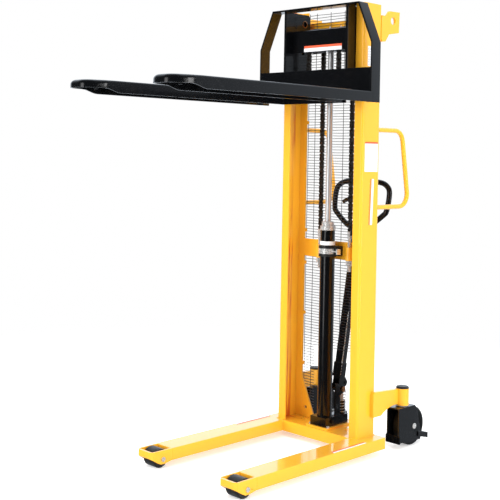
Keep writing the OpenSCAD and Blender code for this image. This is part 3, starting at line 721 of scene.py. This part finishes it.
def handle_loop():
    """The pump handle's closed loop of bent tube, with a square socket at its foot and another at the handle's
    foot.
    """
    low, top, radius = 752, 972, 13
    half = [(0, low), (60, low + 8), (138, low + 64), (157, low + 92)]
    half += [(161, low + 166), (146, low + 200), (100, top), (0, top)]
    points = [Vector((x, v, 0)) for x, v in half]
    line = smooth_path(points, 6)
    line = line + [Vector((-p.x, p.y, 0)) for p in line[-2:0:-1]]
    path = [on_handle(p.x, 0, p.y) for p in line]
    tubes("handle_loop_tube", [path], radius, "tiller", "black_paint", "handle_loop", closed=True, sides=6)
    bm = bmesh.new()
    corners = [(-20.3, -16.3), (20.3, -16.3), (20.3, 16.3), (-20.3, 16.3)]
    foot, head = low - radius - 4, low + radius + 6
    plate(bm, [on_handle(x, y, foot) for x, y in corners], on_handle(0, 0, head) - on_handle(0, 0, foot))
    add_mesh("handle_loop_socket", bm, "tiller", "black_paint", bevel=2)
    bm = bmesh.new()
    corners = [(-23.4, -21.5), (23.4, -21.5), (23.4, 19), (-23.4, 19)]
    foot, head = 52, 118
    plate(bm, [on_handle(x, y, foot) for x, y in corners], on_handle(0, 0, head) - on_handle(0, 0, foot))
    add_mesh("handle_foot_socket", bm, "tiller", "black_paint", bevel=2)


def springs():
    """The plunger's wide return spring and the small spring of the valve."""
    (x0, x1), (y0, y1), (z0, z1) = span("pump_spring")
    wire = 1.9
    y = (y0 + y1) / 2
    bm = bmesh.new()
    swept(bm, coil(0, y, z0 + wire, z1 - wire, (x1 - x0) / 2 - wire, 9), wire)
    piece = add_mesh("pump_return_spring", bm, "chassis", "chrome", "pump_spring", smooth=80)
    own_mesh(piece)
    bm = bmesh.new()
    valve_x, valve_y, collar_z = -4, 151, 180
    swept(bm, coil(valve_x, valve_y, z0 + 5, collar_z, 6.6, 11), 1.1)
    bar(bm, at(valve_x, valve_y, z0), at(valve_x, valve_y, collar_z + 4), 3.6, 16)
    turned(bm, at(valve_x, valve_y, collar_z), Z_AXIS, [(0, 0), (8.4, 0), (8.4, 2.4), (0, 2.4)], 24)
    add_mesh("valve_return_spring", bm, "chassis", "zinc_steel", smooth=60)


def pull_chain():
    """Fine chain down the handle's right front corner, from the release rod towards the valve."""
    top, low = on_handle(22.4, -18, 354), on_handle(21.5, -18, 62)
    count = 46
    pitch = (low - top) / count
    way = pitch.normalized()
    wire, link_long, link_wide, bulge = 0.75, 4.1, 2.0, 1.6
    turns = [tau * k / 12 for k in range(12)]
    rings = []
    for i in range(count):
        middle = top + pitch * (i + 0.5) + X_AXIS * bulge * MM * sin(pi * (i + 0.5) / count)
        across = X_AXIS if i % 2 else X_AXIS.cross(way)
        rings.append([middle + (way * link_long * cos(t) + across * link_wide * sin(t)) * MM for t in turns])
    tubes("pull_chain_links", rings, wire, "tiller", "zinc_steel", closed=True, sides=1)


# ---- wheels and rollers ----


def rollers():
    """Load rollers under the leg tips and guide rollers in the mast channels."""
    for name in ("left", "right"):
        node = f"load_roller_{name}"
        (x0, x1), (y0, y1), (z0, z1) = span(node)
        r, w = (z1 - z0) / 2, x1 - x0
        bm = bmesh.new()
        profile = [(10.3, 0), (20, 0), (20, 3), (27, 3), (27, 0), (r - 5, 0), (r - 1.5, 1.5), (r, 5)]
        profile += [(radius, w - along) for radius, along in profile[::-1]]
        turned(bm, at(x0, (y0 + y1) / 2, (z0 + z1) / 2), X_AXIS, profile, 56)
        add_mesh(f"load_roller_tread_{name}", bm, node, "roller_plastic", node, bevel=0.5)
        for level in ("upper", "lower"):
            node = f"guide_{level}_{name}"
            (x0, x1), (y0, y1), (z0, z1) = span(node)
            r, w = (z1 - z0) / 2, x1 - x0
            bm = bmesh.new()
            profile = [(15.2, 0), (26, 0), (26.5, 1.6), (36, 1.6), (36.5, 0)]
            profile += [(r - 4, 0), (r - 1, 1.2), (r, 4)]
            profile += [(radius, w - along) for radius, along in profile[::-1]]
            turned(bm, at(x0, (y0 + y1) / 2, (z0 + z1) / 2), X_AXIS, profile, 64)
            add_mesh(f"{node}_ring", bm, node, "roller_steel", node, bevel=0.4)


def caster_wheels():
    """Tyre with a shoulder, dished rim and hub on each rear caster, with its pins."""
    for name in ("left", "right"):
        node = f"caster_wheel_{name}"
        (x0, x1), (y0, y1), (z0, z1) = span(node)
        r, w = (z1 - z0) / 2, x1 - x0
        centre = at(x0, (y0 + y1) / 2, (z0 + z1) / 2)
        bm = bmesh.new()
        shoulder = [(r - 8 + 8 * sin(t), 8.5 - 8 * cos(t)) for t in [pi / 2 * i / 5 for i in range(6)]]
        half = [(63, 1.5), (66, 0.5), (78, 0.5), *shoulder]
        profile = [(63, w / 2), *half, *[(radius, w - along) for radius, along in half[::-1]]]
        turned(bm, centre, X_AXIS, profile, 72)
        add_mesh(f"caster_tyre_{name}", bm, node, "tyre", node, smooth=40)
        bm = bmesh.new()
        half = [(10.3, 0), (22, 0), (24, 2), (26, 12), (54, 14), (58, 3), (60, 2.2), (63.2, 2.2)]
        profile = half + [(radius, w - along) for radius, along in half[::-1]]
        turned(bm, centre, X_AXIS, profile, 64)
        for i in range(6):
            turn = tau * i / 6
            out = (Y_AXIS * cos(turn) + Z_AXIS * sin(turn)) * MM
            for face, push in ((11.5, -1), (w - 11.5, 1)):
                start = centre + X_AXIS * face * MM + out * 40
                turned(bm, start, X_AXIS * push, [(0, 0), (5, 0), (4.4, 1.6), (0, 1.6)], 16)
        add_mesh(f"caster_rim_{name}", bm, node, "tyre", bevel=0.6)
        caster_pins(name)


def caster_pins(name):
    """Kingpin, thrust washer and axle with its round heads, and the black cap that closes the sleeve."""
    node = f"caster_pins_{name}"
    (x0, x1), (y0, _), (_, z1) = span(node)
    _, (wy0, wy1), (wz0, wz1) = span(f"caster_wheel_{name}")
    cap_r, cap_h = 30, 10
    king_x, king_y, sleeve_top = (x0 + x1) / 2, y0 + cap_r, z1 - cap_h
    bm = bmesh.new()
    dome = [(20 + 9.8 * cos(t), 2 + 7.8 * sin(t)) for t in [pi / 2 * i / 6 for i in range(7)]]
    turned(bm, at(king_x, king_y, sleeve_top), Z_AXIS, [(0, 0), (29.8, 0), *dome, (6, 9.8), (0, 9.8)], 48)
    add_mesh(f"kingpin_cap_{name}", bm, f"caster_{name}", "roller_plastic", smooth=40)
    bm = bmesh.new()
    washer_z = 184
    turned(bm, at(king_x, king_y, washer_z), Z_AXIS, [(0, 0), (25.6, 0), (25.6, 3.4), (0, 3.4)], 40)
    bar(bm, at(king_x, king_y, washer_z - 6), at(king_x, king_y, sleeve_top), 14.6, 28)
    axle_y, axle_z = (wy0 + wy1) / 2, (wz0 + wz1) / 2
    bar(bm, at(x0 + 8, axle_y, axle_z), at(x1 - 8, axle_y, axle_z), 9.8, 24)
    head = [(0, 0), (13, 0), (13, 2.2), (10.5, 4.6), (0, 4.6)]
    for start, way in ((x1 - 10, 1), (x0 + 10, -1)):
        turned(bm, at(start, axle_y, axle_z), X_AXIS * way, head, 32)
    add_mesh(f"caster_bolts_{name}", bm, f"caster_{name}", "zinc_steel", node, bevel=0.5)


# ---- ram ----


def gland():
    """Grooved and chamfered gland nut round the piston rod."""
    (x0, x1), (y0, y1), (z0, z1) = span("gland_nut")
    r = (x1 - x0) / 2
    centre = at(0, (y0 + y1) / 2, z0)
    h = z1 - z0
    bm = bmesh.new()
    low = [(14.1, 0), (r - 1.5, 0), (r, 1.5), (r, 8), (r - 1, 8.6), (r - 1, 10), (r, 10.6)]
    low += [(r, 18.6), (r - 1.4, 20)]
    high = [(28, 20), (28, 37.6), (26.5, 39), (20, 39), (19, h), (14.1, h)]
    turned(bm, centre, Z_AXIS, low + high, 64)
    add_mesh("gland_nut_turned", bm, "chassis", "zinc_steel", "gland_nut", smooth=30)


# ---- fasteners, welds and labels ----


def fasteners():
    """Hexagon bolts of the pump's base, and the carriage sides' round screws and bushed holes."""
    bm = bmesh.new()
    plate_z = span("floor_plate")[2][1]
    for x in (-52, 52):
        for y in (25, 196):
            bolt(bm, at(x, y, plate_z), Z_AXIS, 8)
    add_mesh("pump_base_bolts", bm, "chassis", "zinc_steel", bevel=0.3)
    bm = bmesh.new()
    side_in = span("carriage_side_right")[0][0]
    head = [(0, 0), (9, 0), (8.2, 2.4), (4.5, 2.6), (4, 1.2), (0, 1.2)]
    for side in (-1, 1):
        for y, z in ((20, 1650), (95, 1650), (20, 1920), (80, 1900)):
            turned(bm, at(side * side_in, y, z), X_AXIS * -side, head, 20)
    add_mesh("roller_stub_screws", bm, "carriage", "black_paint", bevel=0.3)
    bm = bmesh.new()
    rim = [(13.7, -0.2), (17, -0.2), (17, 1), (15.5, 1.8), (13.7, 1.6)]
    for side in (-1, 1):
        turned(bm, at(side * side_in, 74, 1937), X_AXIS * -side, rim, 40)
    add_mesh("side_plate_rims", bm, "carriage", "copper_pin", smooth=50)


def welds():
    """Fillet welds where plates and tubes meet."""
    leg_top = span("leg_right")[2][1]
    beam = span("base_crossbeam")
    mast = span("mast_channel_right")
    leg_in = span("leg_right")[0][0]
    paths = []
    for side in (-1, 1):
        paths += [
            [at(side * leg_in, mast[1][0], leg_top), at(side * mast[0][1], mast[1][0], leg_top)],
            [at(side * mast[0][1], 2, leg_top), at(side * mast[0][1], mast[1][1] - 2, leg_top)],
            [at(side * leg_in, beam[1][0], leg_top - 1), at(side * leg_in, beam[1][0], beam[2][0] + 2)],
            [at(side * mast[0][1], mast[1][1] - 3, 1840), at(side * mast[0][1], mast[1][1] - 3, 1945)],
        ]
    weld("frame_welds", paths, 2.6, "chassis", "yellow_paint")
    plate_front = span("front_plate")[1][0]
    (fork_in, fork_out), _, (fork_low, fork_top) = span("fork_right")
    paths = []
    for side in (-1, 1):
        inner, outer, edge = side * (fork_in + 6), side * (fork_out - 10), side * fork_in
        paths += [
            [at(inner, plate_front, fork_top), at(outer, plate_front, fork_top)],
            [at(edge, plate_front, fork_low + 2), at(edge, plate_front, fork_top - 6)],
        ]
    weld("carriage_welds", paths, 2.6, "carriage", "black_paint")


def label(name, corner, right, up, wide, high, body, bands):
    """A thin film. bands are (material, x0, x1, y0, y1) in shares of its size, laid on the white."""
    bm = bmesh.new()
    out = right.cross(up).normalized()
    data = bpy.data.meshes.new(name)
    patches = [(0, 0, 1, 0, 1, 0.0)] + [(*b, 0.12) for b in bands]
    for index, x0, x1, y0, y1, lift in patches:
        base = corner + (right * x0 * wide + up * y0 * high + out * lift) * MM
        a, b = right * (x1 - x0) * wide * MM, up * (y1 - y0) * high * MM
        before = set(bm.faces)
        plate(bm, [base, base + a, base + a + b, base + b], out * 0.35 * MM)
        for f in set(bm.faces) - before:
            f.material_index = index
    bmesh.ops.recalc_face_normals(bm, faces=bm.faces)
    bm.to_mesh(data)
    bm.free()
    for m in (LABEL_WHITE, LABEL_RED, LABEL_GREY, LABEL_ORANGE):
        data.materials.append(m)
    return add_object(name, data, body, "white_plastic")


def rows(x0, x1, y0, y1, count):
    """Plain pale bars that stand for a printed panel's rows."""
    step = (y1 - y0) / count
    return [(2, x0, x1 - 0.08 * (i % 3), y0 + step * i, y0 + step * (i + 0.45)) for i in range(count)]


def labels():
    """Warning and rating films, with plain bands in place of any print."""
    cover = span("cover_plate")
    label("cover_label", at(-100, cover[1][0] - 0.3, 1794.5), X_AXIS, Z_AXIS, 224, 27, "carriage",
          [(1, 0, 1, 0.6, 1), *rows(0.05, 0.95, 0.08, 0.54, 3)])
    mast_x = span("mast_channel_right")[0][1] + 0.2
    label("warning_label", at(mast_x, 18, 1252), Y_AXIS, Z_AXIS, 91, 132, "chassis",
          [(1, 0, 1, 0.94, 1), *rows(0.06, 0.94, 0.05, 0.88, 12)])
    label("rating_label", at(mast_x, 26, 1718), Y_AXIS, Z_AXIS, 28, 88, "chassis",
          rows(0.1, 0.95, 0.05, 0.95, 7))
    slant = Vector((0, 8.4, 204)).normalized()
    label("strip_label", at(mast_x, 50.3, 1016), Y_AXIS, slant, 27, 204, "chassis", [(3, 0, 0.45, 0, 1)])
    leg_top = span("leg_right")[2][1] + 0.2
    for name, x, red in (("right", 280, (1, 0, 0.5, 0, 1)), ("left", -298, (1, 0.5, 1, 0, 1))):
        label(f"leg_label_{name}", at(x, -222, leg_top), X_AXIS, Y_AXIS, 18, 218, "chassis", [red])


# ---- room, light and camera ----


def make_floor():
    """A pale floor that fades out into the white around it."""
    bm = bmesh.new()
    bmesh.ops.create_grid(bm, x_segments=24, y_segments=24, size=9)
    data = bpy.data.meshes.new("floor")
    bm.to_mesh(data)
    bm.free()
    floor = bpy.data.objects.new("floor", data)
    bpy.context.scene.collection.objects.link(floor)
    glow = {"Emission_Color": (1, 1, 1, 1), "Emission_Strength": 0.35}
    pale = Surface("pale_floor", (0.90, 0.90, 0.90), Roughness=0.8, **glow)
    pale.tint(pale.ranged(pale.noise(2, 3), 0.3, 0.7, 0, 0.3), (0.88, 0.88, 0.89))
    flat = pale.stretched((1, 1, 0))
    distance = pale.node("ShaderNodeVectorMath", {0: flat}, operation="LENGTH").outputs["Value"]
    clear = pale.node("ShaderNodeBsdfTransparent").outputs[0]
    fade = pale.ranged(distance, 1.5, 3.4)
    mixed = pale.node("ShaderNodeMixShader", {0: fade, 1: pale.shader.outputs[0], 2: clear}).outputs[0]
    pale.tree.links.new(mixed, pale.tree.nodes["Material Output"].inputs["Surface"])
    data.materials.append(pale.material)
    floor.visible_glossy = False


def make_world():
    """White to the camera, even for what it lights, and in reflections bright behind and dim in front."""
    world = bpy.data.worlds.new("studio")
    bpy.context.scene.world = world
    world.use_nodes = True
    tree = world.node_tree
    tree.nodes.clear()

    def background(colour, strength):
        made = tree.nodes.new("ShaderNodeBackground")
        made.inputs["Color"].default_value = (*colour, 1)
        made.inputs["Strength"].default_value = strength
        return made.outputs[0]

    def mix(factor, a, b):
        made = tree.nodes.new("ShaderNodeMixShader")
        for socket, value in zip(made.inputs, (factor, a, b)):
            tree.links.new(value, socket)
        return made.outputs[0]

    def ranged(value, low, high, to_low, to_high):
        made = tree.nodes.new("ShaderNodeMapRange")
        for socket, number in zip(list(made.inputs)[1:5], (low, high, to_low, to_high)):
            socket.default_value = number
        tree.links.new(value, made.inputs["Value"])
        return made.outputs[0]

    way = tree.nodes.new("ShaderNodeTexCoord").outputs["Generated"]
    across = tree.nodes.new("ShaderNodeVectorMath")
    across.operation = "DOT_PRODUCT"
    tree.links.new(way, across.inputs[0])
    across.inputs[1].default_value = (-0.6, 1, 0)
    split = tree.nodes.new("ShaderNodeSeparateXYZ")
    tree.links.new(way, split.inputs[0])
    power = tree.nodes.new("ShaderNodeMath")
    power.operation = "MULTIPLY"
    tree.links.new(ranged(across.outputs["Value"], 0.0, 1.1, 0.04, 1.5), power.inputs[0])
    tree.links.new(ranged(split.outputs["Z"], -0.2, 0.05, 0.5, 1), power.inputs[1])
    path = tree.nodes.new("ShaderNodeLightPath")
    glossy = background((0.83, 0.91, 1), 1)
    tree.links.new(power.outputs[0], glossy.node.inputs["Strength"])
    lit = mix(path.outputs["Is Glossy Ray"], background((0.96, 0.98, 1), 0.66), glossy)
    shown = mix(path.outputs["Is Camera Ray"], lit, background((1, 1, 1), 1.0))
    tree.links.new(shown, tree.nodes.new("ShaderNodeOutputWorld").inputs["Surface"])


def area_light(name, place, target, size, power, mirrored=False):
    """A softbox. It shows in reflections only when mirrored is set."""
    data = bpy.data.lights.new(name, "AREA")
    data.shape, data.size, data.size_y = "RECTANGLE", *size
    data.energy = power
    lamp = bpy.data.objects.new(name, data)
    lamp.location = place
    lamp.rotation_euler = (Vector(target) - Vector(place)).to_track_quat("-Z", "Y").to_euler()
    lamp.visible_glossy = mirrored
    bpy.context.scene.collection.objects.link(lamp)


def make_lights():
    """Soft light all round, and two tall panels that draw highlights on round parts."""
    middle = (0, 0, 1.0)
    area_light("key_left", (-2.6, -4.2, 2.2), middle, (2.6, 3.2), 175)
    area_light("key_right", (4.6, -0.8, 1.9), middle, (2.4, 3.4), 190)
    area_light("overhead", (0, -0.4, 4.4), middle, (3.6, 3.6), 140)
    area_light("rear_fill", (-1.5, 4.5, 2.2), middle, (3.0, 3.0), 90)
    area_light("front_strip", (-0.4, -4.4, 1.3), middle, (1.5, 3.4), 34, mirrored=True)
    area_light("side_strip", (4.4, 1.2, 1.3), middle, (0.35, 3.4), 26, mirrored=True)


def make_camera():
    """A level camera in front of the right leg, turned so that the mast stands a little off square."""
    data = bpy.data.cameras.new("camera")
    data.lens, data.sensor_width = 71.26, 36
    data.shift_x, data.shift_y = 0.0002, -0.1932
    data.clip_start, data.clip_end = 0.1, 60
    camera = bpy.data.objects.new("camera", data)
    bpy.context.scene.collection.objects.link(camera)
    turn, roll = radians(45.05), radians(1.09)
    camera.matrix_world = (
        Matrix.Translation((2.9602, -3.0491, 1.3230))
        @ Matrix.Rotation(turn, 4, "Z")
        @ Matrix.Rotation(pi / 2, 4, "X")
        @ Matrix.Rotation(roll, 4, "Z")
    )
    bpy.context.scene.camera = camera


make_camera()
make_floor()
make_world()
make_lights()
bpy.context.scene.view_settings.view_transform = "Standard"
finish_nodes()
fork_shells()
chains()
anchors()
mesh_guard()
grab_handles()
handle_loop()
springs()
pull_chain()
rollers()
caster_wheels()
gland()
fasteners()
welds()
labels()
